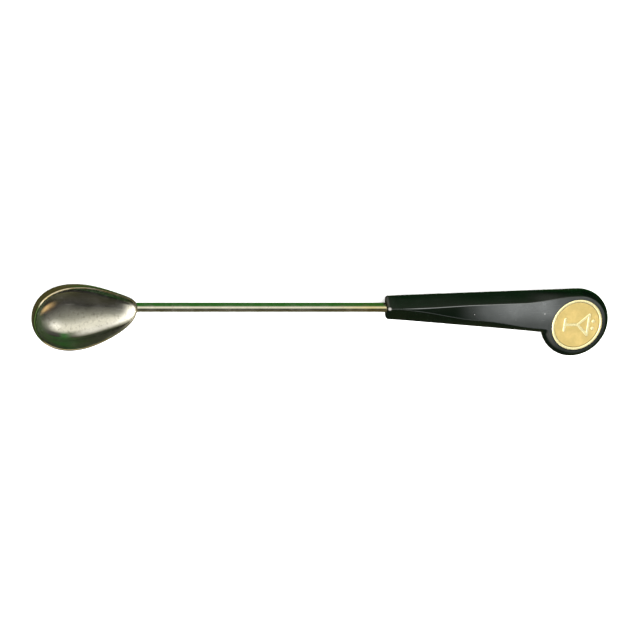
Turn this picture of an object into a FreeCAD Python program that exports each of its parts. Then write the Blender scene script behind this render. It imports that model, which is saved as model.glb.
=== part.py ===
"""Bar spoon: a deep egg-shaped bowl soldered to a round shank, with a moulded handle and an inlaid medallion.

Row frame: +X runs along the shank from the bowl to the handle, +Z is up out of the medallion, and the origin is
the centre of the footprint, on the surface that the spoon lies on. Lengths are in millimetres.
"""

import FreeCAD, Part, Sketcher

import math
import os

from FreeCAD import Placement, Rotation, Vector

SHEET = "dims"

# The driving dimensions. Each row is a cell of the sheet: alias, value, what it measures.
DRIVING = [
    ("shank_diameter", 4.0, "round wire of the shank"),
    ("shank_exposed", 115.4, "from the handle's end face to the mark that the bowl is drawn from"),
    ("shank_buried", 34.0, "length of shank inside the handle"),
    ("shank_under_bowl", 6.0, "length of shank that runs on under the bowl"),
    ("groove_depth", 0.35, "grip grooves in the buried end"),
    ("groove_width", 1.6, "width of one grip groove"),
    ("groove_pitch", 7.0, "distance from one grip groove to the next"),
    ("bowl_length", 51.1, "plan length of the bowl, nose to tip"),
    ("bowl_width", 29.4, "greatest plan width of the bowl"),
    ("bowl_wall", 1.0, "sheet thickness of the bowl"),
    ("bowl_floor", 1.6, "underside of the bowl above the shank's axis"),
    ("bowl_deepest", 32.0, "distance of the deepest point from the nose"),
    ("bowl_fullness", 0.73, "how full the bowl's sections are: 0.552 is an ellipse"),
    ("bowl_pitch", 4.4, "lean of the bowl's walls towards its tip, going down, in degrees"),
    ("rim_height", 13.5, "top of the rim above the shank's axis"),
    ("rim_crest", 35.0, "distance of the highest point of the rim from the nose"),
    ("rim_curve", 70.2, "radius of the arc that the rim follows in side view"),
    ("solder_length", 12.0, "length of the solder fillet"),
    ("solder_width", 6.4, "width of the solder fillet"),
    ("solder_height", 4.8, "height of the solder fillet"),
    ("solder_lead", 1.6, "how far the solder runs out from the bowl along the shank"),
    ("solder_rise", 0.15, "middle of the solder above the shank's axis"),
    ("handle_thickness", 7.0, "front face to back face"),
    ("handle_neck", 10.3, "width of the handle at its end face"),
    ("handle_belly", 4.6, "slope of the handle's lower edge, in degrees"),
    ("lobe_radius", 15.1, "radius of the round lobe"),
    ("lobe_along", 87.85, "distance of the lobe's centre from the end face"),
    ("lobe_below", 6.65, "distance of the lobe's centre from the shank's axis"),
    ("heel_radius", 0.8, "inside corner where the lower edge meets the lobe"),
    ("edge_round", 3.3, "rounding along the handle's long edges"),
    ("end_round", 2.2, "rounding round the handle's end face"),
    ("cement_gap", 0.15, "thickness of every cement film"),
    ("cement_setback", 0.35, "how far inside the bore's mouth the shank's cement starts"),
    ("medallion_diameter", 22.8, "stamped disc let into the lobe"),
    ("medallion_thickness", 1.2, "thickness of the disc at its rim"),
    ("rim_band", 0.9, "width of the disc's raised rim"),
    ("relief", 0.25, "height of the rim and the motif above the disc's field"),
    ("stroke", 0.8, "width of the motif's strokes"),
]

doc = FreeCAD.newDocument("bar_spoon")
sheet = doc.addObject("Spreadsheet::Sheet", SHEET)
for row, (alias, value, meaning) in enumerate(DRIVING, start=1):
    sheet.set(f"A{row}", meaning)
    sheet.set(f"B{row}", str(value))
    sheet.setAlias(f"B{row}", alias)
doc.recompute()


def dim(alias):
    """The value of one driving dimension."""
    return float(sheet.get(alias))


SHANK_RADIUS = dim("shank_diameter") / 2
NOSE = -dim("shank_exposed")
FACE_HEIGHT = dim("handle_thickness") / 2

# The bowl's outline has this many points. Its plan half-width over that of an ellipse is a polynomial in the
# cosine of the outline's parameter: it narrows the bowl towards the nose and keeps both ends blunt.
OUTLINE_POINTS = 36
EGG = {0: 0.924, 1: -0.337, 2: -0.01, 3: 0.085, 4: 0.14}


def rim_level(along):
    """Height of the rim above the shank's axis, at a distance from the nose."""
    from_crest = along - dim("rim_crest")
    return dim("rim_height") - dim("rim_curve") + math.sqrt(dim("rim_curve") ** 2 - from_crest**2)


def pitched(point):
    """A point of the upright bowl moved towards the tip, further the lower it is."""
    drop = dim("rim_height") - point.z
    return Vector(point.x + drop * math.tan(math.radians(dim("bowl_pitch"))), point.y, point.z)


def bowl_section(rim, floor):
    """The four control points of the section that climbs from the deepest point of a skin to a point of its rim."""
    deepest = Vector(dim("bowl_deepest"), 0, floor)
    below_rim = Vector(rim.x, rim.y, floor)
    belly = deepest + (below_rim - deepest) * dim("bowl_fullness")
    shoulder = rim + (below_rim - rim) * dim("bowl_fullness")
    return [pitched(point) for point in (deepest, belly, shoulder, rim)]


def bowl_reach():
    """How far the bowl reaches from its nose mark: its end wall leans out a little below the rim."""
    tip = Vector(dim("bowl_length"), 0, rim_level(dim("bowl_length")))
    wall = Part.BezierCurve()
    wall.setPoles(bowl_section(tip, dim("bowl_floor")))
    return max(point.x for point in wall.discretize(2000))


# Where the handle's end face meets the shank's axis. Every sub-part is modelled from that point.
DATUM = Vector(
    (dim("shank_exposed") + bowl_reach() - dim("lobe_along") - dim("lobe_radius")) / 2,
    (dim("lobe_below") + dim("lobe_radius") - dim("bowl_width") / 2) / 2,
    FACE_HEIGHT,
)


def new_body(label):
    """An empty PartDesign body whose own origin is at the datum."""
    body = doc.addObject("PartDesign::Body", label)
    body.Label = label
    body.Placement = Placement(DATUM, Rotation())
    return body


def new_sketch(body, name, role="XY_Plane", offset="0", rotation=None):
    """A sketch on one of the body's own origin planes, lifted by an expression along the plane's normal."""
    sketch = body.newObject("Sketcher::SketchObject", name)
    plane = next(item for item in body.Origin.OriginFeatures if item.Role == role)
    sketch.AttachmentSupport = (plane, "")
    sketch.MapMode = "FlatFace"
    if rotation:
        sketch.AttachmentOffset = Placement(Vector(), rotation)
    sketch.setExpression("AttachmentOffset.Base.z", offset)
    return sketch


def bind(sketch, constraint, name, expression):
    """Adds a dimension to a sketch and ties it to the sheet."""
    index = sketch.addConstraint(constraint)
    sketch.renameConstraint(index, name)
    sketch.setExpression(f"Constraints.{name}", expression)


def close_loop(sketch, count):
    """Joins each of the first count edges to the next one, end to start."""
    for edge in range(count):
        sketch.addConstraint(Sketcher.Constraint("Coincident", edge, 2, (edge + 1) % count, 1))


def circle_sketch(body, name, diameter, role="XY_Plane", offset="0", centre=(0, 0)):
    """A sketch of one circle; diameter and the centre's two coordinates are expressions or zero."""
    sketch = new_sketch(body, name, role, offset)
    sketch.addGeometry(Part.Circle(Vector(1, 1, 0), Vector(0, 0, 1), 5))
    bind(sketch, Sketcher.Constraint("Diameter", 0, 10.0), "diameter", diameter)
    if centre == (0, 0):
        sketch.addConstraint(Sketcher.Constraint("Coincident", 0, 3, -1, 1))
    else:
        bind(sketch, Sketcher.Constraint("DistanceX", -1, 1, 0, 3, 1.0), "across", centre[0])
        bind(sketch, Sketcher.Constraint("DistanceY", -1, 1, 0, 3, 1.0), "up", centre[1])
    return sketch


def extrude(body, kind, name, sketch, length, reverse=False, both_ways=False):
    """A Pad or Pocket of a sketch whose length is an expression."""
    feature = body.newObject(f"PartDesign::{kind}", name)
    feature.Profile = sketch
    feature.setExpression("Length", length)
    feature.Reversed = reverse
    feature.Midplane = both_ways
    sketch.Visibility = False
    doc.recompute()
    return feature


def round_edges(body, name, base, edges, radius):
    """A fillet on the numbered edges of the feature before it."""
    fillet = body.newObject("PartDesign::Fillet", name)
    fillet.Base = (base, [f"Edge{number}" for number in edges])
    fillet.setExpression("Radius", radius)
    doc.recompute()
    return fillet


def edges_where(shape, test):
    """The numbers of the edges whose every vertex and middle point passes the test."""
    chosen = []
    for number, edge in enumerate(shape.Edges, start=1):
        middle = edge.valueAt((edge.FirstParameter + edge.LastParameter) / 2)
        if all(test(point) for point in [middle] + [vertex.Point for vertex in edge.Vertexes]):
            chosen.append(number)
    return chosen


# ---------------------------------------------------------------- bowl


def egg_point(angle, length, width):
    """A point of the bowl's outline: x from the nose towards the tip, y across. Angle 0 is the nose."""
    along = math.cos(angle)
    swell = sum(share * along**power for power, share in EGG.items())
    return Vector(length / 2 * (1 - along), width / 2 * math.sin(angle) * swell, 0)


def bowl_outline(inset):
    """Points round the bowl's outline, moved inwards by inset, square to the outline."""
    length = dim("bowl_length")
    angles = [math.tau * step / OUTLINE_POINTS for step in range(OUTLINE_POINTS)]
    fullest = max(egg_point(angle / 10, length, 1.0).y for angle in range(32))
    width = dim("bowl_width") / 2 / fullest
    points = []
    for angle in angles:
        point = egg_point(angle, length, width)
        tangent = egg_point(angle + 0.001, length, width) - egg_point(angle - 0.001, length, width)
        outward = Vector(-tangent.y, tangent.x, 0).normalize()
        points.append(point - outward * inset)
    return points


def egg_surface(rows):
    """A surface from rings of points: periodic round the bowl, clamped from first to last ring."""
    count = OUTLINE_POINTS
    degree = len(rows) - 1
    # Pushing each control point out by a sixth of the local bend makes the cubic pass through the rings' points.
    pushed = [
        [ring[step] * 4 / 3 - (ring[step - 1] + ring[(step + 1) % count]) / 6 for step in range(count)]
        for ring in rows
    ]
    columns = [list(column) for column in zip(*pushed)]
    surface = Part.BSplineSurface()
    surface.buildFromPolesMultsKnots(
        columns,
        [1] * (count + 1),
        [degree + 1] * 2,
        list(range(count + 1)),
        [0, 1],
        True,
        False,
        3,
        degree,
    )
    return surface.toShape()


def bowl_skin(inset):
    """One skin of the bowl: from a level floor, up each section, to the rim."""
    rim = [Vector(point.x, point.y, rim_level(point.x)) for point in bowl_outline(inset)]
    sections = [bowl_section(top, dim("bowl_floor") + inset) for top in rim]
    rings = [list(ring) for ring in zip(*sections)]
    return egg_surface(rings), rings[-1]


def solid_of(faces):
    """The solid that a closed set of faces bounds."""
    shell = Part.makeShell(faces)
    shell.sewShape()
    solid = Part.makeSolid(shell)
    if solid.Volume < 0:
        solid.reverse()
    return solid


def place_bowl(shape):
    """Turns a shape drawn from the nose towards +X so that it runs from the shank's end towards -X."""
    turned = shape.copy()
    turned.Placement = Placement(Vector(NOSE, 0, 0), Rotation(Vector(0, 0, 1), 180))
    return turned


def make_bowl():
    """The stamped bowl, and the same outline filled to the rim, which trims what lies against it."""
    outer, outer_rim = bowl_skin(0.0)
    inner, inner_rim = bowl_skin(dim("bowl_wall"))
    edge_band = egg_surface([outer_rim, inner_rim])
    lid_centre = Vector(dim("bowl_deepest"), 0, dim("rim_height"))
    lid = egg_surface([outer_rim, [lid_centre] * len(outer_rim)])
    bowl = doc.addObject("Part::Feature", "bowl")
    bowl.Shape = place_bowl(solid_of([outer, edge_band, inner]))
    filled = doc.addObject("Part::Feature", "bowl_filled")
    filled.Shape = place_bowl(solid_of([outer, lid]))
    for item in (bowl, filled):
        item.Placement = Placement(DATUM, Rotation()).multiply(item.Placement)
    return bowl, filled


# ---------------------------------------------------------------- shank and solder

GRIP_GROOVES = 4


def make_shank(filled):
    """The wire, with grip grooves in its buried end and its other end coped to the bowl."""
    body = new_body("shank_wire")
    profile = circle_sketch(body, "wire_section", f"{SHEET}.shank_diameter", "YZ_Plane", f"{SHEET}.shank_buried")
    wire = f"{SHEET}.shank_buried + {SHEET}.shank_exposed + {SHEET}.shank_under_bowl"
    extrude(body, "Pad", "wire", profile, wire, reverse=True)
    groove_profile = new_sketch(body, "groove_section", "XZ_Plane")
    first, half = dim("groove_pitch"), dim("groove_width") / 2
    bottom, clear = SHANK_RADIUS - dim("groove_depth"), 2 * SHANK_RADIUS
    corners = [(first - half, bottom), (first + half, bottom), (first + half, clear), (first - half, clear)]
    for start, end in zip(corners, corners[1:] + corners[:1]):
        groove_profile.addGeometry(Part.LineSegment(Vector(*start, 0), Vector(*end, 0)))
    close_loop(groove_profile, 4)
    for edge, way in enumerate(("Horizontal", "Vertical", "Horizontal", "Vertical")):
        groove_profile.addConstraint(Sketcher.Constraint(way, edge))
    bind(groove_profile, Sketcher.Constraint("DistanceX", 0, 1, 0, 2, 2 * half), "width", f"{SHEET}.groove_width")
    bind(
        groove_profile,
        Sketcher.Constraint("DistanceX", -1, 1, 0, 1, first - half),
        "start",
        f"{SHEET}.groove_pitch - {SHEET}.groove_width / 2",
    )
    bind(
        groove_profile,
        Sketcher.Constraint("DistanceY", -1, 1, 0, 1, bottom),
        "bottom",
        f"{SHEET}.shank_diameter / 2 - {SHEET}.groove_depth",
    )
    bind(
        groove_profile,
        Sketcher.Constraint("DistanceY", -1, 1, 2, 1, clear),
        "clear",
        f"{SHEET}.shank_diameter",
    )
    groove = body.newObject("PartDesign::Groove", "grip_groove")
    groove.Profile = groove_profile
    groove.ReferenceAxis = (groove_profile, ["H_Axis"])
    groove.Angle = 360
    groove_profile.Visibility = False
    doc.recompute()
    pattern = body.newObject("PartDesign::LinearPattern", "grip_grooves")
    pattern.Originals = [groove]
    pattern.Direction = (groove_profile, ["H_Axis"])
    pattern.Occurrences = GRIP_GROOVES
    pattern.setExpression("Length", f"{GRIP_GROOVES - 1} * {SHEET}.groove_pitch")
    body.Tip = pattern
    doc.recompute()
    shank = doc.addObject("Part::Cut", "shank")
    shank.Base = body
    shank.Tool = filled
    return body, shank


def make_solder(filled, wire_body):
    """The fillet of silver solder that fills the angle between the shank and the underside of the bowl."""
    blob = doc.addObject("Part::Ellipsoid", "solder_blob")
    blob.setExpression("Radius1", f"{SHEET}.solder_height / 2")
    blob.setExpression("Radius2", f"{SHEET}.solder_length / 2")
    blob.setExpression("Radius3", f"{SHEET}.solder_width / 2")
    centre = Vector(NOSE + dim("solder_lead") - dim("solder_length") / 2, 0, dim("solder_rise"))
    blob.Placement = Placement(DATUM + centre, Rotation())
    off_bowl = doc.addObject("Part::Cut", "solder_off_bowl")
    off_bowl.Base = blob
    off_bowl.Tool = filled
    solder = doc.addObject("Part::Cut", "solder_fillet")
    solder.Base = off_bowl
    solder.Tool = wire_body
    return solder


# ---------------------------------------------------------------- handle


def handle_outline(body):
    """The handle's plan: end face, upper edge, lobe, heel and lower edge, drawn clockwise from the end face."""
    neck = dim("handle_neck") / 2
    centre = Vector(dim("lobe_along"), -dim("lobe_below"), 0)
    radius, heel = dim("lobe_radius"), dim("heel_radius")
    belly = math.radians(dim("handle_belly"))

    # Upper edge: the tangent to the lobe from the top of the end face.
    top_corner = Vector(0, neck, 0)
    away = centre - top_corner
    leaning = math.atan2(away.y, away.x) + math.asin(radius / away.Length)
    top_touch = centre + Vector(-math.sin(leaning), math.cos(leaning), 0) * radius

    # Heel: a small arc outside the lobe that the lower edge also touches.
    bottom_corner = Vector(0, -neck, 0)
    down_line = Vector(math.cos(belly), -math.sin(belly), 0)
    down_normal = Vector(-math.sin(belly), -math.cos(belly), 0)
    start = bottom_corner + down_normal * heel - centre
    reach = radius + heel
    along = -start.dot(down_line) - math.sqrt(start.dot(down_line) ** 2 - start.Length**2 + reach**2)
    heel_centre = centre + start + down_line * along
    line_touch = heel_centre - down_normal * heel
    lobe_touch = centre + (heel_centre - centre).normalize() * radius

    sketch = new_sketch(body, "plan")
    far_side = centre + Vector(radius, 0, 0)
    heel_middle = heel_centre + ((line_touch + lobe_touch) / 2 - heel_centre).normalize() * heel
    sketch.addGeometry(Part.LineSegment(bottom_corner, top_corner))
    sketch.addGeometry(Part.LineSegment(top_corner, top_touch))
    sketch.addGeometry(Part.Arc(top_touch, far_side, lobe_touch))
    sketch.addGeometry(Part.Arc(lobe_touch, heel_middle, line_touch))
    sketch.addGeometry(Part.LineSegment(line_touch, bottom_corner))
    return sketch


def constrain_outline(sketch):
    """Ties the handle's plan to the sheet."""
    # An arc keeps its own counter-clockwise ends, so ends are matched by place.
    ends = [(edge, end, sketch.getPoint(edge, end)) for edge in range(5) for end in (1, 2)]
    for edge, end, point in ends:
        for other, other_end, other_point in ends:
            if other > edge and point.isEqual(other_point, 1e-6):
                joined_smoothly = {edge, other} in ({1, 2}, {2, 3}, {3, 4})
                kind = "Tangent" if joined_smoothly else "Coincident"
                sketch.addConstraint(Sketcher.Constraint(kind, edge, end, other, other_end))
    sketch.addConstraint(Sketcher.Constraint("PointOnObject", 0, 1, -2))
    sketch.addConstraint(Sketcher.Constraint("PointOnObject", 0, 2, -2))
    half_neck = f"{SHEET}.handle_neck / 2"
    bind(sketch, Sketcher.Constraint("DistanceY", -1, 1, 0, 2, 5.0), "neck_up", half_neck)
    bind(sketch, Sketcher.Constraint("DistanceY", 0, 1, -1, 1, 5.0), "neck_down", half_neck)
    bind(sketch, Sketcher.Constraint("Radius", 2, 15.0), "lobe", f"{SHEET}.lobe_radius")
    bind(sketch, Sketcher.Constraint("DistanceX", -1, 1, 2, 3, 88.0), "lobe_along", f"{SHEET}.lobe_along")
    bind(sketch, Sketcher.Constraint("DistanceY", 2, 3, -1, 1, 7.0), "lobe_below", f"{SHEET}.lobe_below")
    bind(sketch, Sketcher.Constraint("Radius", 3, 1.5), "heel", f"{SHEET}.heel_radius")
    bind(
        sketch,
        Sketcher.Constraint("Angle", 4, 2, 0, 1, math.radians(90 - dim("handle_belly"))),
        "belly",
        f"(90 + {SHEET}.handle_belly) * 1deg",
    )


def make_handle():
    """The moulded handle, with its bore for the shank and its recess for the medallion."""
    body = new_body("handle")
    plan = handle_outline(body)
    constrain_outline(plan)
    blank = extrude(body, "Pad", "blank", plan, f"{SHEET}.handle_thickness", both_ways=True)
    on_a_face = edges_where(blank.Shape, lambda point: abs(abs(point.z) - FACE_HEIGHT) < 1e-6)
    end_edges = edges_where(blank.Shape, lambda point: abs(point.x) < 1e-6)
    long_edges = [number for number in on_a_face if number not in end_edges]
    rounded = round_edges(body, "long_rounding", blank, long_edges, f"{SHEET}.edge_round")
    end_edges = edges_where(rounded.Shape, lambda point: abs(point.x) < 1e-6)
    round_edges(body, "end_rounding", rounded, end_edges, f"{SHEET}.end_round")

    bore = circle_sketch(body, "bore_section", f"{SHEET}.shank_diameter + 2 * {SHEET}.cement_gap", "YZ_Plane")
    extrude(body, "Pocket", "bore", bore, f"{SHEET}.shank_buried + {SHEET}.cement_gap", reverse=True)
    recess = circle_sketch(
        body,
        "recess_section",
        f"{SHEET}.medallion_diameter + 2 * {SHEET}.cement_gap",
        offset=f"{SHEET}.handle_thickness / 2",
        centre=(f"{SHEET}.lobe_along", f"-{SHEET}.lobe_below"),
    )
    extrude(body, "Pocket", "recess", recess, f"{SHEET}.medallion_thickness + {SHEET}.cement_gap")
    return body


# ---------------------------------------------------------------- medallion and cement

# The motif, a stemmed glass with two beads of garnish, in the disc's own plane. Its top points along +X.
GLASS_RIM, GLASS_WAIST, GLASS_FOOT = 5.2, 0.2, -5.6
GLASS_HALF_WIDTH, FOOT_HALF_WIDTH = 4.6, 2.6
BEADS = [(7.3, 1.6), (7.3, -1.6)]
BEAD_DIAMETER = 1.3


def glass_strokes():
    """The centre lines of the motif's straight strokes."""
    return [
        ((GLASS_RIM, -GLASS_HALF_WIDTH), (GLASS_RIM, GLASS_HALF_WIDTH)),
        ((GLASS_RIM, -GLASS_HALF_WIDTH), (GLASS_WAIST, 0)),
        ((GLASS_RIM, GLASS_HALF_WIDTH), (GLASS_WAIST, 0)),
        ((GLASS_WAIST, 0), (GLASS_FOOT, 0)),
        ((GLASS_FOOT, -FOOT_HALF_WIDTH), (GLASS_FOOT, FOOT_HALF_WIDTH)),
    ]


def stroke_solid(start, end, width, height):
    """A round-ended bar of one stroke, standing on the plane z = 0."""
    start, end = Vector(*start, 0), Vector(*end, 0)
    line = end - start
    turn = math.degrees(math.atan2(line.y, line.x))
    bar = Part.makeBox(line.Length, width, height, Vector(0, -width / 2, 0))
    bar.Placement = Placement(start, Rotation(Vector(0, 0, 1), turn))
    ends = [Part.makeCylinder(width / 2, height, point) for point in (start, end)]
    return bar.multiFuse(ends)


def make_medallion():
    """The stamped disc: a turned blank with a raised rim, and a raised motif on its field."""
    blank = new_body("medallion_blank")
    blank.Placement = Placement(
        DATUM + Vector(dim("lobe_along"), -dim("lobe_below"), FACE_HEIGHT - dim("medallion_thickness")), Rotation()
    )
    disc = circle_sketch(blank, "disc_section", f"{SHEET}.medallion_diameter")
    extrude(blank, "Pad", "disc", disc, f"{SHEET}.medallion_thickness")
    field = circle_sketch(
        blank,
        "field_section",
        f"{SHEET}.medallion_diameter - 2 * {SHEET}.rim_band",
        offset=f"{SHEET}.medallion_thickness",
    )
    extrude(blank, "Pocket", "field", field, f"{SHEET}.relief")

    motif = doc.addObject("Part::Feature", "medallion_motif")
    height = dim("relief") * 2
    strokes = [stroke_solid(start, end, dim("stroke"), height) for start, end in glass_strokes()]
    beads = [Part.makeCylinder(BEAD_DIAMETER / 2, height, Vector(*centre, 0)) for centre in BEADS]
    motif.Shape = strokes[0].multiFuse(strokes[1:] + beads).removeSplitter()
    motif.Placement = Placement(
        blank.Placement.Base + Vector(0, 0, dim("medallion_thickness") - height), Rotation()
    )
    medallion = doc.addObject("Part::Fuse", "medallion")
    medallion.Base = blank
    medallion.Tool = motif
    medallion.Refine = True
    return medallion


def make_shank_cement(wire_body):
    """The film of cement between the shank and the handle's bore. It fills the shank's grip grooves."""
    fill = doc.addObject("Part::Cylinder", "shank_cement_fill")
    fill.setExpression("Radius", f"{SHEET}.shank_diameter / 2 + {SHEET}.cement_gap")
    fill.setExpression("Height", f"{SHEET}.shank_buried + {SHEET}.cement_gap - {SHEET}.cement_setback")
    start = DATUM + Vector(dim("cement_setback"), 0, 0)
    fill.Placement = Placement(start, Rotation(Vector(0, 0, 1), Vector(1, 0, 0)))
    cement = doc.addObject("Part::Cut", "shank_cement")
    cement.Base = fill
    cement.Tool = wire_body
    return cement


def make_medallion_cement():
    """The film of cement under the medallion."""
    film = doc.addObject("Part::Cylinder", "medallion_cement")
    film.setExpression("Radius", f"{SHEET}.medallion_diameter / 2 + {SHEET}.cement_gap")
    film.setExpression("Height", f"{SHEET}.cement_gap")
    depth = dim("medallion_thickness") + dim("cement_gap")
    centre = Vector(dim("lobe_along"), -dim("lobe_below"), FACE_HEIGHT - depth)
    film.Placement = Placement(DATUM + centre, Rotation())
    return film


def check(subparts):
    """Stops the script if any object of the document failed or a sub-part isn't a valid solid."""
    for item in doc.Objects:
        if {"Invalid", "Error"} & set(item.State):
            raise RuntimeError(f"{item.Label} failed: {item.State}")
    for item in subparts:
        shape = item.Shape
        if shape.isNull() or not shape.isValid() or not shape.Solids:
            raise RuntimeError(f"{item.Label} isn't a valid solid")


bowl, filled_bowl = make_bowl()
wire, shank = make_shank(filled_bowl)
subparts = [
    bowl,
    shank,
    make_solder(filled_bowl, wire),
    make_handle(),
    make_medallion(),
    make_shank_cement(wire),
    make_medallion_cement(),
]
doc.recompute()
check(subparts)

os.makedirs("parts", exist_ok=True)
for item in subparts:
    item.Shape.exportStep(f"parts/{item.Label}.step")
    box = item.Shape.BoundBox
    print(
        f"{item.Label}: {item.Shape.Volume:.1f} mm3, {len(item.Shape.Solids)} solid(s), "
        f"x {box.XMin:.2f} to {box.XMax:.2f}, y {box.YMin:.2f} to {box.YMax:.2f}, z {box.ZMin:.2f} to {box.ZMax:.2f}"
    )
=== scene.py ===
"""Looks of a bar spoon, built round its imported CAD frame. Lengths are in metres unless a name ends in _MM."""

import math

import bpy
import numpy as np
from mathutils import Matrix, Vector


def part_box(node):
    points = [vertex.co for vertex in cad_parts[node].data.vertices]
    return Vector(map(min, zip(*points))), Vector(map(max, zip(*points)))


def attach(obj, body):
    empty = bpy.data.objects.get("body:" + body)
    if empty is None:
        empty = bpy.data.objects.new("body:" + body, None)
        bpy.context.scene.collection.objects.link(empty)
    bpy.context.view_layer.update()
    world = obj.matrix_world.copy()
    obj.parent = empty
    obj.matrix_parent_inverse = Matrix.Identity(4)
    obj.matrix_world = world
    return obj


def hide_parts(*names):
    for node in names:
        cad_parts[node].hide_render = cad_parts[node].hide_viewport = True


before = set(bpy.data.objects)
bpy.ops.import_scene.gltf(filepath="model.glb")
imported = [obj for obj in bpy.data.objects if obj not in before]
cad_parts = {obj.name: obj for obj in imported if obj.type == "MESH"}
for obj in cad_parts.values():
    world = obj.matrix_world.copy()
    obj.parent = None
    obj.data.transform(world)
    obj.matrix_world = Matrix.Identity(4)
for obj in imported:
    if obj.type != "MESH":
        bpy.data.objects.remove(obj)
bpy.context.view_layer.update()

MM = 0.001

# ---------------------------------------------------------------- where things are, from the CAD frame

HANDLE_LOW, HANDLE_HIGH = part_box("handle")
SHANK_LOW, SHANK_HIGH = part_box("shank")
DISC_LOW, DISC_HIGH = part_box("medallion")

SHANK_RADIUS = (SHANK_HIGH.z - SHANK_LOW.z) / 2
# The middle of the handle's end face, on the shank's axis.
DATUM = Vector((HANDLE_LOW.x, (SHANK_LOW.y + SHANK_HIGH.y) / 2, (HANDLE_LOW.z + HANDLE_HIGH.z) / 2))
FACE_HEIGHT = (HANDLE_HIGH.z - HANDLE_LOW.z) / 2
DISC_CENTRE = (DISC_LOW + DISC_HIGH) / 2
DISC_RADIUS = (DISC_HIGH.x - DISC_LOW.x) / 2
DISC_THICKNESS = DISC_HIGH.z - DISC_LOW.z
SHANK_EXPOSED = 115.4 * MM
NOSE = DATUM - Vector((SHANK_EXPOSED, 0, 0))


# ---------------------------------------------------------------- mesh helpers


def smoothstep(low, high, value):
    """0 below low, 1 above high, and a smooth S between them. Takes numbers or arrays."""
    t = np.clip((value - low) / (high - low), 0.0, 1.0)
    return t * t * (3 - 2 * t)


def make_piece(name, points, faces, attributes=None):
    """A smooth-shaded mesh object that rides on the root body. attributes are one float per point each."""
    mesh = bpy.data.meshes.new(name)
    mesh.from_pydata([tuple(point) for point in points], [], faces)
    mesh.update()
    mesh.shade_smooth()
    for key, values in (attributes or {}).items():
        layer = mesh.attributes.new(key, "FLOAT", "POINT")
        layer.data.foreach_set("value", np.asarray(values, dtype=np.float32))
    piece = bpy.data.objects.new(name, mesh)
    bpy.context.scene.collection.objects.link(piece)
    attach(piece, "root")
    return piece


def ring_faces(rings, count, first=0, closed=False):
    """Quads between successive rings of count points each, whose numbering starts at first."""
    faces = []
    last = rings if closed else rings - 1
    for ring in range(last):
        low = first + ring * count
        high = first + (ring + 1) % rings * count
        for step in range(count):
            after = (step + 1) % count
            faces.append((low + step, low + after, high + after, high + step))
    return faces


# ---------------------------------------------------------------- bowl

BOWL_STEPS = 240
BOWL_RISES = 44
LIP_STEPS = 9
BOWL_LENGTH = 51.1 * MM
BOWL_WIDTH = 29.4 * MM
BOWL_WALL = 1.0 * MM
# The lip is half round: it starts and ends this far below the rim.
LIP_DROP = BOWL_WALL * 0.42
BOWL_FLOOR = 1.6 * MM
BOWL_DEEPEST = 32.0 * MM
BOWL_FULLNESS = 0.73
BOWL_PITCH = math.tan(math.radians(4.4))
RIM_HEIGHT = 13.5 * MM
RIM_CREST = 35.0 * MM
RIM_CURVE = 70.2 * MM
# Plan half-width over that of an ellipse, as a polynomial in the cosine of the outline's parameter.
EGG = {0: 0.924, 1: -0.337, 2: -0.01, 3: 0.085, 4: 0.14}


def egg_outline(steps, inset):
    """Points round the bowl's plan outline, x from the nose towards the tip, moved in by inset."""
    angle = np.arange(steps) * math.tau / steps
    along = np.cos(angle)
    swell = sum(share * along**power for power, share in EGG.items())
    half = np.sin(angle) * swell
    x = BOWL_LENGTH / 2 * (1 - along)
    y = half / half.max() * BOWL_WIDTH / 2
    run, rise = np.roll(x, -1) - np.roll(x, 1), np.roll(y, -1) - np.roll(y, 1)
    length = np.hypot(run, rise)
    return x + rise / length * inset, y - run / length * inset


def rim_level(x):
    """Height of the rim above the shank's axis."""
    return RIM_HEIGHT - RIM_CURVE + np.sqrt(RIM_CURVE**2 - (x - RIM_CREST) ** 2)


def bowl_skin(inset, rises):
    """Rings of points from the deepest point up to the rim, as an array (ring, step, xyz)."""
    x, y = egg_outline(BOWL_STEPS, inset)
    z = rim_level(x)
    floor = BOWL_FLOOR + inset
    deepest = np.stack([np.full_like(x, BOWL_DEEPEST), np.zeros_like(y), np.full_like(z, floor)], 1)
    rim = np.stack([x, y, z], 1)
    below_rim = np.stack([x, y, np.full_like(z, floor)], 1)
    belly = deepest + (below_rim - deepest) * BOWL_FULLNESS
    shoulder = rim + (below_rim - rim) * BOWL_FULLNESS
    share = (np.arange(rises + 1) / rises)[:, None, None]
    back = 1 - share
    skin = back**3 * deepest + 3 * back**2 * share * belly + 3 * back * share**2 * shoulder + share**3 * rim
    # The walls lean towards the tip, going down.
    skin[..., 0] += BOWL_PITCH * (RIM_HEIGHT - skin[..., 2])
    return skin[1:]


OUTER_SKIN = bowl_skin(0.0, BOWL_RISES)
# A place further than this from every point of the skin is outside the outline.
NEAR_SKIN = 0.6 * MM


def bowl_underside(x, y):
    """Height of the bowl's outer skin at a place in the bowl's own plan, or None outside the outline."""
    distance = np.hypot(OUTER_SKIN[..., 0] - x, OUTER_SKIN[..., 1] - y)
    ring, step = np.unravel_index(distance.argmin(), distance.shape)
    if distance[ring, step] > NEAR_SKIN:
        return None
    return OUTER_SKIN[ring, step, 2]


def to_row(points):
    """Bowl points, drawn from the nose towards +X, put where the bowl is."""
    placed = np.array(points, dtype=float).reshape(-1, 3)
    placed[:, 0] = NOSE.x - placed[:, 0]
    placed[:, 1] = NOSE.y - placed[:, 1]
    placed[:, 2] = NOSE.z + placed[:, 2]
    return placed


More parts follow.
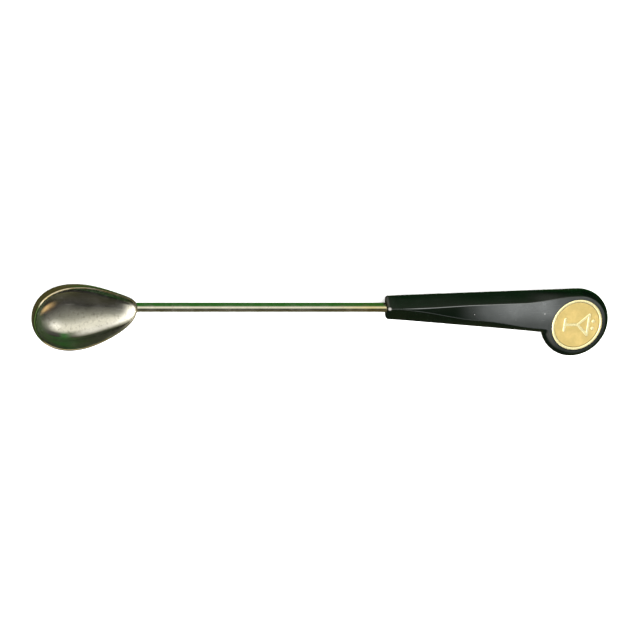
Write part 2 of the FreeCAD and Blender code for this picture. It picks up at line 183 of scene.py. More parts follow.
def make_bowl():
    """The stamped bowl: outer skin, rolled lip and inner skin in one closed mesh."""
    outer = bowl_skin(0.0, BOWL_RISES)
    inner = bowl_skin(BOWL_WALL, BOWL_RISES)
    outer_rim, inner_rim = outer[-1], inner[-1]
    middle = (outer_rim + inner_rim) / 2
    outward = outer_rim - middle
    lip = []
    for step in range(1, LIP_STEPS):
        turn = math.pi * step / LIP_STEPS
        ring = middle + outward * math.cos(turn)
        ring[:, 2] += LIP_DROP * (math.sin(turn) - 1)
        lip.append(ring)
    outer[-1, :, 2] -= LIP_DROP
    inner[-1, :, 2] -= LIP_DROP
    rings = np.concatenate([outer, np.array(lip), inner[::-1]])
    count = BOWL_STEPS
    floor_out = np.array([[BOWL_DEEPEST + BOWL_PITCH * RIM_HEIGHT, 0, BOWL_FLOOR]])
    floor_in = np.array([[BOWL_DEEPEST + BOWL_PITCH * (RIM_HEIGHT - BOWL_WALL), 0, BOWL_FLOOR + BOWL_WALL]])
    points = np.concatenate([rings.reshape(-1, 3), floor_out, floor_in])
    faces = ring_faces(len(rings), count)
    low, high = len(points) - 2, len(points) - 1
    top_ring = (len(rings) - 1) * count
    for step in range(count):
        after = (step + 1) % count
        faces.append((low, after, step))
        faces.append((high, top_ring + step, top_ring + after))
    rises = np.arange(len(rings))
    rim_at = len(outer) + (LIP_STEPS - 1) / 2
    closeness = np.clip(1 - abs(rises - rim_at) / BOWL_RISES, 0, 1)
    lip_ring = np.concatenate([np.repeat(closeness, count), [0, 0]])
    inside = np.concatenate([np.repeat(smoothstep(rim_at - 1, rim_at + 1, rises), count), [0, 1]])
    return make_piece("spoon_bowl", to_row(points), faces, {"rim_nearness": lip_ring, "inside": inside})


# ---------------------------------------------------------------- shank and solder

SHANK_STEPS = 72
# How far the shank and the solder reach into the bowl's wall, so that no gap shows.
SHANK_BURY = 0.35 * MM
SOLDER_BURY = 0.3 * MM
SOLDER_FILL = 0.98


def under_bowl(point, bury):
    """Lowers a point that would come through the bowl to just inside the bowl's wall."""
    level = bowl_underside(NOSE.x - point[0], NOSE.y - point[1])
    if level is not None:
        point[2] = min(point[2], NOSE.z + level + bury)
    return point


def make_shank():
    """The wire: a round bar whose one end is coped to the underside of the bowl."""
    start, stop = SHANK_LOW.x, SHANK_HIGH.x
    coped = np.linspace(start, NOSE.x + 1 * MM, 40)
    plain = np.linspace(NOSE.x + 1.5 * MM, stop, 60)
    stations = [(start, 0.5), (start + 0.15 * MM, 0.78), (start + 0.5 * MM, 0.95)]
    stations += [(x, 1.0) for x in coped[3:]] + [(x, 1.0) for x in plain]
    points = []
    for x, share in stations:
        for step in range(SHANK_STEPS):
            turn = math.tau * step / SHANK_STEPS
            point = [
                x,
                DATUM.y + math.cos(turn) * SHANK_RADIUS * share,
                DATUM.z + math.sin(turn) * SHANK_RADIUS * share,
            ]
            points.append(under_bowl(point, SHANK_BURY) if x < NOSE.x + 0.5 * MM else point)
    faces = ring_faces(len(stations), SHANK_STEPS)
    last = (len(stations) - 1) * SHANK_STEPS
    faces.append(tuple(range(SHANK_STEPS))[::-1])
    faces.append(tuple(range(last, last + SHANK_STEPS)))
    return make_piece("shank_wire", points, [face[::-1] for face in faces])


def make_solder():
    """The fillet of solder between the shank and the underside of the bowl, a little uneven."""
    low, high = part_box("solder_fillet")
    centre, half = (low + high) / 2, (high - low) / 2
    rings, count = 40, 64
    points = []
    for ring in range(rings):
        tilt = math.pi * (ring + 0.5) / rings
        for step in range(count):
            turn = math.tau * step / count
            sway = 1 + 0.03 * math.sin(3 * turn + 1.1) * math.sin(2 * tilt)
            sway += 0.02 * math.sin(7 * turn + 5 * tilt)
            sway = min(sway, 1.02)
            point = [
                centre.x + half.x * math.cos(tilt) * SOLDER_FILL,
                centre.y + half.y * math.sin(tilt) * math.cos(turn) * sway * SOLDER_FILL,
                centre.z + half.z * math.sin(tilt) * math.sin(turn) * sway * SOLDER_FILL,
            ]
            points.append(under_bowl(point, SOLDER_BURY))
    faces = ring_faces(rings, count)
    faces.append(tuple(range(count))[::-1])
    faces.append(tuple(range((rings - 1) * count, rings * count)))
    return make_piece("solder_joint", points, faces)


# ---------------------------------------------------------------- handle

NECK_HALF = 5.15 * MM
LOBE_RADIUS = 15.1 * MM
HEEL_RADIUS = 0.8 * MM
BELLY_SLOPE = math.radians(4.6)
CORNER_RADIUS = 1.3 * MM
# On the front, facets climb from the handle's middle height to the flat face. They are this wide in plan, and
# reach the flat face at these angles, over a narrow rounded crease.
ROUND_HEIGHT = 3.45 * MM
UPPER_FACET = 4.4 * MM
LOWER_FACET = 3.8 * MM
LOBE_FACET = 2.4 * MM
LONG_CREASE = math.radians(33)
LOBE_CREASE = math.radians(28)
CREASE = 0.3 * MM
# At the end face the facets meet in a ridge: how far in it starts, and how far up from the middle it lies.
RIDGE_START = 0.7 * MM
RIDGE = 0.45 * MM
RIDGE_HALF = 0.1 * MM
# On the back, the edges are quarter ellipses of these widths.
BACK_ROUND = 3.3 * MM
BACK_END = 3.2 * MM
# The end face stands this far past the CAD one in its middle, and slopes this much in plan. The facets start
# this much higher there, and all three fade out over this reach.
END_OUT = 0.25 * MM
END_SKEW = 0.16
END_RISE = 0.45 * MM
END_REACH = 10 * MM
RECESS_GAP = 0.15 * MM
BORE_GAP = 0.15 * MM
CREASE_STEPS = 5
FACET_STEPS = 14
BACK_STEPS = 14


def arc(centre, radius, start, stop, count):
    """Points and outward normals along an arc; a negative radius is a hollow corner."""
    rows = []
    for step in range(count):
        turn = start + (stop - start) * (step + 0.5) / count
        across = np.array([math.cos(turn), math.sin(turn)])
        rows.append((centre + across * abs(radius), across * math.copysign(1.0, radius)))
    return rows


def line(start, stop, count):
    """Points and outward normals along a straight edge walked clockwise."""
    way = (stop - start) / np.linalg.norm(stop - start)
    normal = np.array([-way[1], way[0]])
    return [(start + (stop - start) * (step + 0.5) / count, normal) for step in range(count)]


def handle_plan():
    """The handle's plan, clockwise from the end face: its outline, its front face's and its back face's."""
    centre = np.array([DISC_CENTRE.x - DATUM.x, DISC_CENTRE.y - DATUM.y])
    top_corner = np.array([0.0, NECK_HALF])
    away = centre - top_corner
    lean = math.atan2(away[1], away[0]) + math.asin(LOBE_RADIUS / np.linalg.norm(away))
    up_way = np.array([math.cos(lean), math.sin(lean)])
    up_normal = np.array([-up_way[1], up_way[0]])
    top_touch = centre + up_normal * LOBE_RADIUS

    bottom_corner = np.array([0.0, -NECK_HALF])
    down_way = np.array([math.cos(BELLY_SLOPE), -math.sin(BELLY_SLOPE)])
    down_normal = np.array([-math.sin(BELLY_SLOPE), -math.cos(BELLY_SLOPE)])
    start = bottom_corner + down_normal * HEEL_RADIUS - centre
    reach = LOBE_RADIUS + HEEL_RADIUS
    ahead = -start @ down_way - math.sqrt((start @ down_way) ** 2 - start @ start + reach**2)
    heel_centre = centre + start + down_way * ahead
    line_touch = heel_centre - down_normal * HEEL_RADIUS
    lobe_touch = centre + (heel_centre - centre) / np.linalg.norm(heel_centre - centre) * LOBE_RADIUS

    radius = CORNER_RADIUS
    # Each end corner is an arc that touches the end face and a long edge.
    top_centre_x = radius
    top_y = NECK_HALF + (radius - radius * up_normal[0]) * math.tan(lean) - radius * up_normal[1]
    bottom_y = -NECK_HALF - (radius - radius * down_normal[0]) * math.tan(BELLY_SLOPE)
    bottom_y -= radius * down_normal[1]
    top_centre = np.array([top_centre_x, top_y])
    bottom_centre = np.array([radius, bottom_y])
    end = line(bottom_centre + [-radius, 0], top_centre + [-radius, 0], 16)
    up_turn = math.atan2(up_normal[1], up_normal[0])
    upper_turn = arc(top_centre, radius, math.pi, up_turn, 12)
    upper = line(top_centre + up_normal * radius, top_touch, 90)
    lobe_end = math.atan2(*(lobe_touch - centre)[::-1])
    lobe = arc(centre, LOBE_RADIUS, up_turn, lobe_end if lobe_end < up_turn else lobe_end - math.tau, 150)
    heel_start = math.atan2(*(lobe_touch - heel_centre)[::-1])
    heel_stop = math.atan2(*(line_touch - heel_centre)[::-1])
    if heel_stop < heel_start:
        heel_stop += math.tau
    heel = arc(heel_centre, -HEEL_RADIUS, heel_start, heel_stop, 14)
    down_turn = math.atan2(down_normal[1], down_normal[0])
    lower = line(line_touch, bottom_centre + down_normal * radius, 80)
    lower_turn = arc(bottom_centre, radius, down_turn, -math.pi, 12)

    outline, front, back = [], [], []
    for rows, facet, lobe_from, lobe_to in (
        (end + upper_turn, None, 0, 0),
        (upper, UPPER_FACET, 62 * MM, 84 * MM),
        (lobe, None, 0, 0),
        (heel, None, 0, 0),
        (lower, LOWER_FACET, 45 * MM, 70 * MM),
        (lower_turn, None, 0, 0),
    ):
        for place, normal in rows:
            x, y = place
            outline.append(place)
            if x > radius:
                back.append(place - normal * BACK_ROUND)
                back[-1][0] += (BACK_END - radius) * (1 - smoothstep(radius, 12 * MM, x))
            else:
                back.append(np.array([BACK_END, y * (1 - BACK_ROUND / NECK_HALF)]))
            if facet is not None:
                # The ridge opens into the flat face, which widens towards the lobe.
                at_ridge = abs(y) - math.copysign(RIDGE, y) - RIDGE_HALF
                inset = at_ridge + (facet - at_ridge) * smoothstep(radius, 40 * MM, x) ** 0.8
                inset += (LOBE_FACET - facet) * smoothstep(lobe_from, lobe_to, x)
                front.append(place - normal * inset)
            elif x > radius:
                front.append(place - normal * LOBE_FACET)
            else:
                run = RIDGE_START + (radius - RIDGE_START) * x / radius
                front.append(np.array([run, RIDGE + RIDGE_HALF * y / NECK_HALF]))
    plan = [np.array(rows) for rows in (outline, front, back)]
    for rows in plan:
        rows[:, 0] -= (END_OUT + END_SKEW * rows[:, 1]) * (1 - smoothstep(0, END_REACH, rows[:, 0]))
    return plan


def cut(piece, rings, count):
    """Takes a solid of rings of count points each away from a piece."""
    points = [point for ring in rings for point in ring]
    faces = ring_faces(len(rings), count)
    faces.append(tuple(range(count))[::-1])
    faces.append(tuple(range((len(rings) - 1) * count, len(rings) * count)))
    mesh = bpy.data.meshes.new("cutter")
    mesh.from_pydata(points, [], faces)
    cutter = bpy.data.objects.new("cutter", mesh)
    bpy.context.scene.collection.objects.link(cutter)
    modifier = piece.modifiers.new("cut", "BOOLEAN")
    modifier.object = cutter
    modifier.solver = "EXACT"
    graph = bpy.context.evaluated_depsgraph_get()
    result = bpy.data.meshes.new_from_object(piece.evaluated_get(graph))
    piece.modifiers.clear()
    piece.data = result
    bpy.data.objects.remove(cutter)


def turned(centre, axis, profile, count):
    """Rings of points round an axis through centre. profile is (distance along the axis, radius) pairs."""
    side = Vector((0, 0, 1)) if abs(axis.x) > 0.5 else Vector((1, 0, 0))
    other = axis.cross(side)
    rings = []
    for along, radius in profile:
        ring = []
        for step in range(count):
            turn = math.tau * step / count
            ring.append(centre + axis * along + (side * math.cos(turn) + other * math.sin(turn)) * radius)
        rings.append(ring)
    return rings


def make_handle():
    """The moulding: rounded all round, with a recess for the disc and a bore for the shank."""
    outline, front, back = handle_plan()
    count = len(outline)
    along = outline[:, 0]
    inward = front - outline
    width = np.linalg.norm(inward, axis=1)
    inward /= width[:, None]
    crease = CREASE * (0.15 + 0.85 * smoothstep(4 * MM, 16 * MM, along))
    angle = LONG_CREASE + (LOBE_CREASE - LONG_CREASE) * smoothstep(62 * MM, 84 * MM, along)
    rise = ROUND_HEIGHT - END_RISE * (1 - smoothstep(0, END_REACH, along))
    start = FACE_HEIGHT - rise
    shoulder = np.maximum(rise - width * np.tan(angle), 0.1 * MM)

    # From the flat face out over the crease, down the facet, round to the back.
    rings = []
    for step in range(CREASE_STEPS + 1):
        share = step / CREASE_STEPS
        out = crease * (1 - 2 * share)
        drop = share**2 * crease * np.tan(angle)
        rings.append((front + inward * out[:, None], FACE_HEIGHT - drop))
    highest = np.sqrt(1 - crease / width)
    for step in range(1, FACET_STEPS + 1):
        share = highest * (1 - step / FACET_STEPS)
        height = 2 * share * (1 - share) * shoulder + share**2 * rise
        rings.append((outline + (front - outline) * (share**2)[:, None], start + height))
    for step in range(1, BACK_STEPS + 1):
        turn = math.pi / 2 * step / BACK_STEPS
        height = start - (start + FACE_HEIGHT) * math.sin(turn)
        rings.append((back + (outline - back) * math.cos(turn), height))
    points = []
    for spots, heights in rings:
        points += [(DATUM.x + x, DATUM.y + y, DATUM.z + height) for (x, y), height in zip(spots, heights)]
    faces = ring_faces(len(rings), count)
    faces.append(tuple(range(count))[::-1])
    faces.append(tuple(range((len(rings) - 1) * count, len(rings) * count)))
    handle = make_piece("handle_moulding", points, faces)

    mouth = DISC_RADIUS + RECESS_GAP
    top = DATUM.z + FACE_HEIGHT
    recess_floor = DISC_LOW.z - RECESS_GAP
    centre = Vector((DISC_CENTRE.x, DISC_CENTRE.y, 0))
    lip = 0.08 * MM
    wide = mouth + 2 * lip
    profile = [(recess_floor, mouth), (top - lip, mouth), (top + lip, wide), (top + 1 * MM, wide)]
    cut(handle, turned(centre, Vector((0, 0, 1)), profile, 180), 180)
    bore = SHANK_RADIUS + BORE_GAP
    depth = SHANK_HIGH.x - DATUM.x + BORE_GAP
    profile = [(-1 * MM, bore + 0.1 * MM), (0.1 * MM, bore + 0.1 * MM), (0.25 * MM, bore), (depth, bore)]
    cut(handle, turned(DATUM, Vector((1, 0, 0)), profile, 64), 64)
    handle.data.shade_smooth()
    handle.data.set_sharp_from_angle(angle=math.radians(30))
    return handle


# ---------------------------------------------------------------- medallion

# The rim and the strokes are a little wider than the CAD ones, so that they read from a distance.
RIM_BAND = 1.1 * MM
RELIEF = 0.25 * MM
STROKE = 1.05 * MM
# The motif in millimetres, in the disc's own plane: a stemmed glass with two beads. Its top points along +X.
GLASS_MM = [
    ((5.2, -4.6), (5.2, 4.6)),
    ((5.2, -4.6), (0.2, 0.0)),
    ((5.2, 4.6), (0.2, 0.0)),
    ((0.2, 0.0), (-5.6, 0.0)),
    ((-5.6, -2.6), (-5.6, 2.6)),
]
BEADS_MM = [(7.3, 1.6), (7.3, -1.6)]
BEAD = 1.5 * MM
DISC_STEPS = 400
FIELD_RINGS = 120


def motif_height(x, y):
    """Height of the motif over the field, from 0 to 1, at places measured from the disc's centre."""
    height = np.zeros_like(x)
    for start, stop in GLASS_MM:
        (x0, y0), (x1, y1) = np.array(start) * MM, np.array(stop) * MM
        along = ((x - x0) * (x1 - x0) + (y - y0) * (y1 - y0)) / ((x1 - x0) ** 2 + (y1 - y0) ** 2)
        along = np.clip(along, 0, 1)
        away = np.hypot(x - x0 - along * (x1 - x0), y - y0 - along * (y1 - y0)) / (STROKE * 0.62)
        height = np.maximum(height, bead_section(away))
    for centre in BEADS_MM:
        away = np.hypot(x - centre[0] * MM, y - centre[1] * MM) / (BEAD * 0.58)
        height = np.maximum(height, bead_section(away))
    return height


def bead_section(away):
    """A round-topped section with a soft foot: 1 in the middle, 0 from away = 1."""
    return smoothstep(0.0, 1.0, np.clip(np.sqrt(np.clip(1 - away**2, 0, 1)) * 1.25, 0, 1))


def make_medallion():
    """The stamped disc: sunk field, raised motif, thin groove and rounded rim."""
    inner = DISC_RADIUS - RIM_BAND
    radii = list(np.linspace(inner / FIELD_RINGS, inner - 0.25 * MM, FIELD_RINGS))
    heights = [-RELIEF] * FIELD_RINGS
    groove_at = inner - 0.1 * MM
    # The groove, the rim's inner side, its crown, its outer edge and the disc's side, as (radius, height).
    rim = [
        (groove_at - 0.1 * MM, -RELIEF - 0.02 * MM),
        (groove_at - 0.04 * MM, -RELIEF - 0.11 * MM),
        (groove_at + 0.04 * MM, -RELIEF - 0.11 * MM),
        (groove_at + 0.1 * MM, -RELIEF + 0.02 * MM),
    ]
    crown_steps = 12
    for step in range(crown_steps + 1):
        turn = math.pi * (1 - step / crown_steps)
        radius = inner + RIM_BAND / 2 + math.cos(turn) * RIM_BAND * 0.48
        rim.append((radius, -0.14 * MM * (1 - math.sin(turn))))
    rim += [
        (DISC_RADIUS - 0.005 * MM, -0.22 * MM),
        (DISC_RADIUS, -0.3 * MM),
        (DISC_RADIUS, -DISC_THICKNESS + 0.1 * MM),
        (DISC_RADIUS - 0.1 * MM, -DISC_THICKNESS),
    ]
    radii += [radius for radius, height in rim]
    heights += [height for radius, height in rim]
    turn = np.arange(DISC_STEPS) * math.tau / DISC_STEPS
    points, relief, groove = [], [], []
    for ring, (radius, height) in enumerate(zip(radii, heights)):
        x, y = np.cos(turn) * radius, np.sin(turn) * radius
        raised = motif_height(x, y) if ring < FIELD_RINGS else np.zeros_like(x)
        z = height + raised * RELIEF * 0.95
        points.append(np.stack([x, y, z], 1))
        on_rim = 1.0 if radius > inner else 0.0
        relief.append(np.maximum(raised, on_rim))
        groove.append(np.full_like(x, 1.0 if height < -RELIEF - 0.01 * MM and radius < inner else 0.0))
    points = np.concatenate(points + [np.array([[0, 0, -RELIEF]])])
    points += np.array([DISC_CENTRE.x, DISC_CENTRE.y, DISC_HIGH.z])
    relief = np.concatenate(relief + [[0.0]])
    groove = np.concatenate(groove + [[0.0]])
    faces = [face[::-1] for face in ring_faces(len(radii), DISC_STEPS)]
    middle = len(points) - 1
    faces += [(middle, step, (step + 1) % DISC_STEPS) for step in range(DISC_STEPS)]
    last = (len(radii) - 1) * DISC_STEPS
    faces.append(tuple(range(last, last + DISC_STEPS))[::-1])
    disc = make_piece("medallion_disc", points, faces, {"relief": relief, "groove": groove})
    disc.data.set_sharp_from_angle(angle=math.radians(60))
    return disc


# ---------------------------------------------------------------- materials


class Paint:
    """One material's node tree, built from short calls. Lengths in the noises' scales are per metre."""

    def __init__(self, name):
        self.material = bpy.data.materials.new(name)
        self.material.use_nodes = True
        self.tree = self.material.node_tree
        self.shader = self.tree.nodes["Principled BSDF"]
        self.place = self.add("ShaderNodeTexCoord").outputs["Object"]
        self.height = None

    def add(self, kind, **settings):
        node = self.tree.nodes.new(kind)
        for key, value in settings.items():
            setattr(node, key, value)
        return node

    def feed(self, socket, value):
        if isinstance(value, bpy.types.NodeSocket):
            self.tree.links.new(value, socket)
        else:
            socket.default_value = value

    def attribute(self, name):
        return self.add("ShaderNodeAttribute", attribute_name=name).outputs["Fac"]

    def moved(self, scale=(1, 1, 1), turn=(0, 0, 0)):
        node = self.add("ShaderNodeMapping")
        self.feed(node.inputs["Vector"], self.place)
        node.inputs["Scale"].default_value = scale
        node.inputs["Rotation"].default_value = turn
        return node.outputs["Vector"]

    def noise(self, scale, detail=2.0, place=None, roughness=0.5, distortion=0.0):
        node = self.add("ShaderNodeTexNoise")
        self.feed(node.inputs["Vector"], place or self.place)
        node.inputs["Scale"].default_value = scale
        node.inputs["Detail"].default_value = detail
        node.inputs["Roughness"].default_value = roughness
        node.inputs["Distortion"].default_value = distortion
        return node.outputs["Fac"]

    def cells(self, scale, feature="F1", randomness=1.0):
        node = self.add("ShaderNodeTexVoronoi", feature=feature)
        self.feed(node.inputs["Vector"], self.place)
        node.inputs["Scale"].default_value = scale
        node.inputs["Randomness"].default_value = randomness
        return node

    def band(self, value, low, high, first=0.0, last=1.0):
        """value from low to high taken to first to last, smoothly and clamped."""
        node = self.add("ShaderNodeMapRange", interpolation_type="SMOOTHSTEP")
        self.feed(node.inputs["Value"], value)
        for key, number in (("From Min", low), ("From Max", high), ("To Min", first), ("To Max", last)):
            node.inputs[key].default_value = number
        return node.outputs["Result"]

    def sum(self, operation, first, second, third=None):
        node = self.add("ShaderNodeMath", operation=operation)
        self.feed(node.inputs[0], first)
        self.feed(node.inputs[1], second)
        if third is not None:
            self.feed(node.inputs[2], third)
        return node.outputs[0]

    def mix(self, share, first, second):
        node = self.add("ShaderNodeMix", data_type="RGBA")
        self.feed(node.inputs[0], share)
        self.feed(node.inputs[6], (*first, 1) if isinstance(first, tuple) else first)
        self.feed(node.inputs[7], (*second, 1) if isinstance(second, tuple) else second)
        return node.outputs[2]

    def axis(self, name):
        node = self.add("ShaderNodeSeparateXYZ")
        self.feed(node.inputs[0], self.place)
        return node.outputs[name]

    def normal(self, name):
        """One part of the surface's normal."""
        node = self.add("ShaderNodeSeparateXYZ")
        self.feed(node.inputs[0], self.add("ShaderNodeNewGeometry").outputs["Normal"])
        return node.outputs[name]

    def facing_up(self):
        """1 where the surface faces straight up, 0 where it leans."""
        return self.band(self.normal("Z"), 0.985, 0.999)

    def bump(self, height, distance):
        """Adds a relief of this depth, in metres, on top of the ones before."""
        node = self.add("ShaderNodeBump")
        self.feed(node.inputs["Height"], height)
        node.inputs["Distance"].default_value = distance
        if self.height is not None:
            self.feed(node.inputs["Normal"], self.height)
        self.height = node.outputs["Normal"]
        self.feed(self.shader.inputs["Normal"], self.height)

    def scratches(self, turn, fineness=1.0):
        """Fine hairlines along one direction: 1 on a hairline, 0 off it."""
        place = self.moved(scale=(60, 2600 * fineness, 60), turn=turn)
        lines = self.band(self.noise(1.0, 1.0, place), 0.66, 0.74)
        patches = self.band(self.noise(160, 1.0), 0.45, 0.6)
        return self.sum("MULTIPLY", lines, patches)

    def hairlines(self, turns, fineness=1.0):
        total = self.scratches(turns[0], fineness)
        for turn in turns[1:]:
            total = self.sum("MAXIMUM", total, self.scratches(turn, fineness))
        return total

    def set(self, **values):
        for key, value in values.items():
            self.feed(self.shader.inputs[key.replace("_", " ")], value)
        return self.material


def bowl_paint():
    """Worn bright plate: silvery and mottled with tarnish inside, worn to brass round the rim and outside."""
    paint = Paint("bowl_plate")
    inside = paint.attribute("inside")
    outside = paint.sum("SUBTRACT", 1.0, inside)
    near_rim = paint.band(paint.attribute("rim_nearness"), 0.9, 0.985)
    broken = paint.band(paint.noise(220, 3.0), 0.3, 0.6, 0.6, 1.0)
    worn = paint.sum("MULTIPLY", paint.sum("MAXIMUM", near_rim, paint.sum("MULTIPLY", outside, 0.75)), broken)
    wall = paint.band(paint.attribute("rim_nearness"), 0.3, 0.72)
    along = paint.axis("X")
    skewed = paint.sum("MULTIPLY_ADD", paint.axis("Y"), 0.27, along)
    tip = paint.band(skewed, NOSE.x - 48.5 * MM, NOSE.x - 45.5 * MM, 1.0, 0.0)
    silver = paint.mix(paint.band(paint.noise(90, 2.0), 0.35, 0.65), (0.72, 0.71, 0.67), (0.82, 0.8, 0.75))
    colour = paint.mix(worn, silver, (0.42, 0.34, 0.17))
    mottle = paint.band(paint.noise(700, 4.0, roughness=0.7), 0.5, 0.68)
    spots = paint.band(paint.cells(330).outputs["Distance"], 0.05, 0.2, 1.0, 0.0)
    here = paint.band(paint.noise(140, 2.0), 0.52, 0.62)
    tarnish = paint.sum("MAXIMUM", paint.sum("MULTIPLY", mottle, 0.45), paint.sum("MULTIPLY", spots, here))
    colour = paint.mix(paint.sum("MULTIPLY", tarnish, 0.8), colour, (0.24, 0.21, 0.16))
    streaks = paint.band(paint.noise(1.0, 3.0, paint.moved(scale=(45, 45, 900))), 0.42, 0.66)
    streaked = paint.sum("MULTIPLY", paint.sum("MULTIPLY", streaks, outside), 0.6)
    colour = paint.mix(streaked, colour, (0.3, 0.22, 0.1))
    # The lip at the tip is painted dark green: a painted reflection.
    lip = paint.band(paint.attribute("rim_nearness"), 0.86, 0.93)
    colour = paint.mix(paint.sum("MULTIPLY", tip, lip), colour, (0.03, 0.05, 0.015))
    lines = paint.hairlines([(0, 0, 0.2), (0, 0, 1.9), (0, 0, -0.9), (0, 0, 2.6)])
    roughness = paint.band(paint.noise(120, 3.0), 0.3, 0.7, 0.08, 0.13)
    roughness = paint.sum("MULTIPLY", roughness, paint.band(inside, 0.0, 1.0, 0.7, 1.0))
    roughness = paint.sum("MULTIPLY", roughness, paint.band(wall, 0.0, 1.0, 1.0, 0.45))
    roughness = paint.sum("ADD", roughness, paint.sum("MULTIPLY", tarnish, 0.1))
    roughness = paint.sum("ADD", roughness, paint.sum("MULTIPLY", lines, 0.08))
    roughness = paint.sum("ADD", roughness, paint.sum("MULTIPLY", near_rim, 0.22))
    paint.bump(paint.noise(260, 2.0), 6e-6)
    paint.bump(lines, 2e-6)
    return paint.set(Base_Color=colour, Metallic=1.0, Roughness=roughness)


def shank_paint():
    """Polished plate over brass: bright, with drawn lines along the wire, warmer near the handle."""
    paint = Paint("shank_plate")
    warm = paint.band(paint.axis("X"), DATUM.x - 34 * MM, DATUM.x - 4 * MM)
    warm = paint.sum("MULTIPLY", warm, paint.band(paint.noise(300, 2.0), 0.2, 0.6, 0.6, 1.0))
    colour = paint.mix(warm, (0.82, 0.79, 0.7), (0.82, 0.7, 0.42))
    tarnish = paint.band(paint.noise(500, 4.0, roughness=0.6), 0.55, 0.75)
    colour = paint.mix(paint.sum("MULTIPLY", tarnish, 0.3), colour, (0.42, 0.36, 0.24))
    drawn = paint.noise(1.0, 2.0, paint.moved(scale=(30, 5200, 5200)))
    roughness = paint.band(paint.noise(240, 2.0), 0.3, 0.7, 0.07, 0.15)
    roughness = paint.sum("ADD", roughness, paint.sum("MULTIPLY", tarnish, 0.12))
    paint.bump(drawn, 1.2e-6)
    paint.bump(paint.noise(150, 1.0), 4e-6)
    return paint.set(Base_Color=colour, Metallic=1.0, Roughness=roughness)


def solder_paint():
    """Dull silver solder, slightly pitted."""
    paint = Paint("solder")
    colour = paint.mix(paint.noise(600, 3.0), (0.5, 0.49, 0.45), (0.72, 0.7, 0.66))
    roughness = paint.band(paint.noise(900, 3.0), 0.3, 0.7, 0.28, 0.5)
    paint.bump(paint.noise(1400, 3.0), 2.5e-5)
    return paint.set(Base_Color=colour, Metallic=1.0, Roughness=roughness)


def handle_paint():
    """Glossy black moulding with a faint green tint, a painted reflection. The flat face is hazed by handling
    and rougher towards the lobe, where it is also painted lighter as a painted sheen; a painted highlight runs
    along its upper crease and a painted glint sits where the ridge starts. It has hairlines and a few specks of
    dust.
    """
    paint = Paint("handle_black")
    face = paint.facing_up()
    along = paint.axis("X")
    # The flat face is painted lighter grey towards the lobe and on its +Y side: a painted sheen. The same mask
    # makes it rougher there.
    haze_and_painted_sheen = paint.band(along, DATUM.x + 30 * MM, DATUM.x + 60 * MM)
    lobe = paint.band(along, DATUM.x + 70 * MM, DATUM.x + 84 * MM, 1.0, 0.3)
    cloudy = paint.band(paint.noise(75, 3.0), 0.3, 0.68, 0.72, 1.1)
    haze_and_painted_sheen = paint.sum("MULTIPLY", paint.sum("MULTIPLY", haze_and_painted_sheen, lobe), paint.sum("MULTIPLY", cloudy, face))
    across = paint.band(paint.axis("Y"), DATUM.y - 8 * MM, DATUM.y + 1.5 * MM, 0.4, 1.15)
    haze_and_painted_sheen = paint.sum("MULTIPLY", haze_and_painted_sheen, across)
    # The crease between the flat face and the upper facet is painted bright: a painted highlight.
    off_facet = paint.band(paint.normal("Z"), 0.905, 0.93)
    off_face = paint.band(paint.normal("Z"), 0.985, 0.997, 1.0, 0.0)
    leaning = paint.sum("MULTIPLY", off_facet, off_face)
    crease_painted_highlight = paint.sum("MULTIPLY", leaning, paint.band(paint.normal("Y"), 0.02, 0.15, 0.25, 1.0))
    crease_painted_highlight = paint.sum("MULTIPLY", crease_painted_highlight, paint.band(along, DATUM.x + 4 * MM, DATUM.x + 24 * MM, 1.0, 0.7))
    crease_painted_highlight = paint.sum("MULTIPLY", crease_painted_highlight, paint.band(along, DATUM.x + 62 * MM, DATUM.x + 80 * MM, 1.0, 0.3))
    # A painted glint on the corner where the ridge starts.
    corner = paint.add("ShaderNodeVectorMath", operation="DISTANCE")
    paint.feed(corner.inputs[0], paint.place)
    corner.inputs[1].default_value = DATUM + Vector((RIDGE_START - END_OUT, RIDGE, FACE_HEIGHT))
    ridge_corner_painted_glint = paint.band(corner.outputs["Value"], 0.35 * MM, 1.1 * MM, 1.0, 0.0)
    lines = paint.hairlines([(0, 0, 0.1), (0, 0, 1.1), (0, 0, -0.7)])
    dust_cells = paint.cells(420)
    dust = paint.band(dust_cells.outputs["Distance"], 0.07, 0.12, 1.0, 0.0)
    sparse = paint.band(paint.noise(260, 1.0), 0.6, 0.63)
    dust = paint.sum("MULTIPLY", paint.sum("MULTIPLY", dust, sparse), face)
    # Near black with a faint green tint: a painted reflection of green surroundings.
    colour = paint.mix(paint.noise(70, 2.0), (0.0002, 0.0014, 0.0005), (0.0004, 0.0022, 0.0009))
    # Painted sheen on the flat face.
    colour = paint.mix(haze_and_painted_sheen, colour, (0.07, 0.074, 0.073))
    grain = paint.sum("MULTIPLY", paint.band(paint.noise(1900, 2.0), 0.42, 0.7), haze_and_painted_sheen)
    colour = paint.mix(paint.sum("MULTIPLY", grain, 0.35), colour, (0.034, 0.036, 0.034))
    # Painted highlight along the crease.
    colour = paint.mix(crease_painted_highlight, colour, (0.1, 0.105, 0.102))
    # Painted glint at the ridge's start.
    colour = paint.mix(ridge_corner_painted_glint, colour, (0.2, 0.19, 0.18))
    colour = paint.mix(paint.sum("MULTIPLY", dust, 0.8), colour, (0.3, 0.3, 0.28))
    roughness = paint.band(paint.noise(110, 3.0), 0.3, 0.7, 0.05, 0.09)
    roughness = paint.sum("ADD", roughness, paint.sum("MULTIPLY", haze_and_painted_sheen, 0.2))
    roughness = paint.sum("ADD", roughness, paint.sum("MULTIPLY", lines, 0.12))
    roughness = paint.sum("ADD", roughness, paint.sum("MULTIPLY", dust, 0.4))
    paint.bump(paint.noise(130, 2.0), 8e-6)
    paint.bump(lines, 1.5e-6)
    paint.bump(dust, 2e-5)
    return paint.set(Base_Color=colour, Roughness=roughness)


